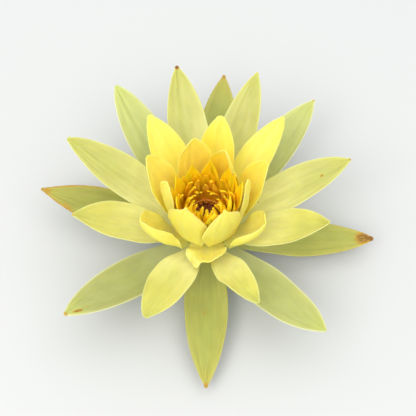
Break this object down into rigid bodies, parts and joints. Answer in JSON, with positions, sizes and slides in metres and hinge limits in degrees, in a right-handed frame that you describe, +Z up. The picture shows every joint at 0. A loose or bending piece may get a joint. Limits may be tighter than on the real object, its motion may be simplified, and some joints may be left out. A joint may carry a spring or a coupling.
{
  "type": "water lily flower",
  "caption": "Open yellow water lily bloom with layered pointed petals round orange stamens and a dark stigma, picked with a short stub of stalk and standing on the cut.",
  "frame": {"origin": "centre of the stalk's cut face, on the surface that the bloom stands on", "axes": "+Z up along the stalk and out of the bloom's centre; -Y towards the front sepal, +X towards the right sepal"},
  "size_m": [0.1293, 0.1319, 0.052],
  "materials": {
    "sepal_skin": "satin olive-yellow, browned at the tips",
    "outer_petal_skin": "satin pale green-yellow, finely veined",
    "petal_skin": "satin lemon yellow, finely veined",
    "inner_petal_skin": "satin deep yellow",
    "stamen_skin": "satin orange with pale anthers",
    "stigma_skin": "moist maroon brown",
    "receptacle_skin": "matt olive green"
  },
  "bodies": {
    "root": {"sepal_1": "sepal_skin", "sepal_2": "sepal_skin", "sepal_3": "sepal_skin", "sepal_4": "sepal_skin", "outer_petal_1": "outer_petal_skin", "outer_petal_2": "outer_petal_skin", "outer_petal_3": "outer_petal_skin", "outer_petal_4": "outer_petal_skin", "long_petal_1": "petal_skin", "long_petal_2": "petal_skin", "long_petal_3": "petal_skin", "long_petal_4": "petal_skin", "long_petal_5": "petal_skin", "long_petal_6": "petal_skin", "long_petal_7": "petal_skin", "long_petal_8": "petal_skin", "cup_petal_1": "inner_petal_skin", "cup_petal_2": "inner_petal_skin", "cup_petal_3": "inner_petal_skin", "cup_petal_4": "inner_petal_skin", "cup_petal_5": "inner_petal_skin", "cup_petal_6": "inner_petal_skin", "inner_petal_1": "inner_petal_skin", "inner_petal_2": "inner_petal_skin", "inner_petal_3": "inner_petal_skin", "inner_petal_4": "inner_petal_skin", "inner_petal_5": "inner_petal_skin", "inner_petal_6": "inner_petal_skin", "inner_petal_7": "inner_petal_skin", "inner_petal_8": "inner_petal_skin", "receptacle": "receptacle_skin", "stamens": "stamen_skin", "stigma_disc": "stigma_skin"}
  },
  "joints": []
}
